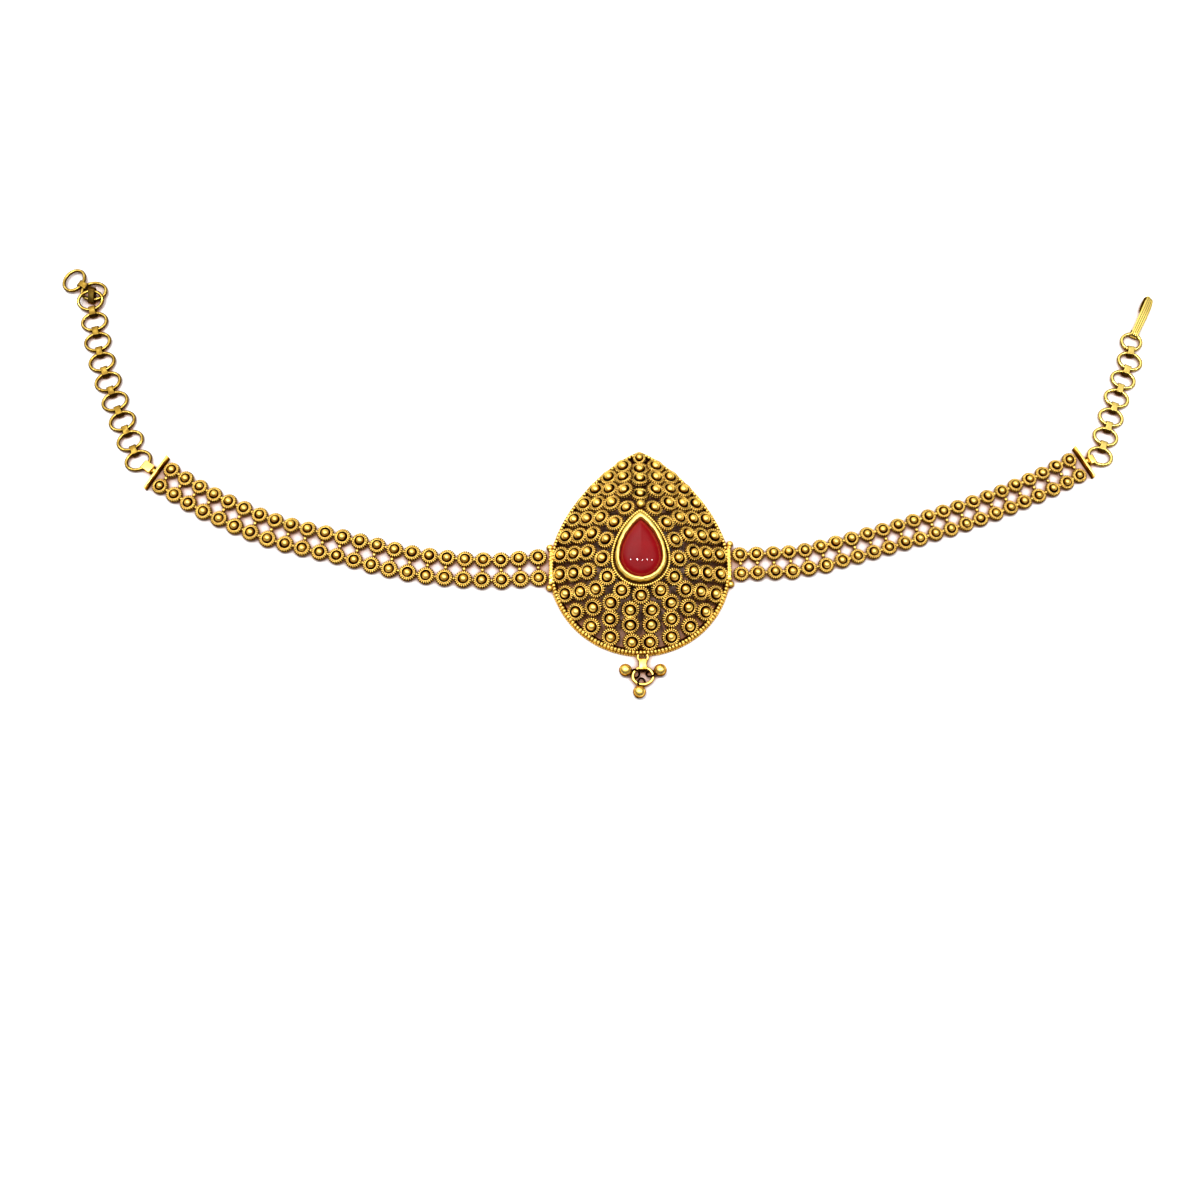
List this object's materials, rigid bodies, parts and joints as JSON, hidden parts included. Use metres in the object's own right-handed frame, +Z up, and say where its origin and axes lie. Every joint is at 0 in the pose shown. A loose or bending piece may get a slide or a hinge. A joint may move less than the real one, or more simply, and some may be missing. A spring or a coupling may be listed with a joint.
{
  "type": "armlet bracelet",
  "caption": "Granulated metal armlet laid open: domed pear plaque with a red cabochon, paired-cup bands, ring chains with a hook, and a small drop of balls.",
  "frame": {"origin": "under the middle of the whole armlet, on the surface that it lies on", "axes": "+X along the armlet towards the hook's end, +Y towards the plaque's point, +Z up out of the plaque's face"},
  "size_m": [0.2432, 0.0986, 0.0098],
  "materials": {
    "gold": "antique gold, polished on the granules and darkened in the hollows",
    "pale_gold": "paler polished gold, lightly worn",
    "red_stone": "smooth polished cabochon, nearly opaque deep red"
  },
  "bodies": {
    "root": {"plaque": "gold", "stone": "red_stone", "band_left": "gold", "band_right": "gold", "end_bar_left": "gold", "end_bar_right": "gold", "ring_left_1": "pale_gold", "ring_left_2": "pale_gold", "ring_left_3": "pale_gold", "ring_left_4": "pale_gold", "ring_left_5": "pale_gold", "ring_left_6": "pale_gold", "ring_left_7": "pale_gold", "ring_left_8": "pale_gold", "ring_left_9": "pale_gold", "ring_left_10": "pale_gold", "ring_left_11": "pale_gold", "tab_left_1": "pale_gold", "tab_left_2": "pale_gold", "tab_left_3": "pale_gold", "tab_left_4": "pale_gold", "tab_left_5": "pale_gold", "tab_left_6": "pale_gold", "tab_left_7": "pale_gold", "tab_left_8": "pale_gold", "tab_left_9": "pale_gold", "tab_left_10": "pale_gold", "ring_right_1": "pale_gold", "ring_right_2": "pale_gold", "ring_right_3": "pale_gold", "ring_right_4": "pale_gold", "ring_right_5": "pale_gold", "ring_right_6": "pale_gold", "ring_right_7": "pale_gold", "tab_right_1": "pale_gold", "tab_right_2": "pale_gold", "tab_right_3": "pale_gold", "tab_right_4": "pale_gold", "tab_right_5": "pale_gold", "tab_right_6": "pale_gold", "hook": "pale_gold", "drop_ring": "gold", "drop_bail": "gold", "drop_ball_left": "gold", "drop_ball_right": "gold", "drop_ball_bottom": "gold"}
  },
  "joints": []
}
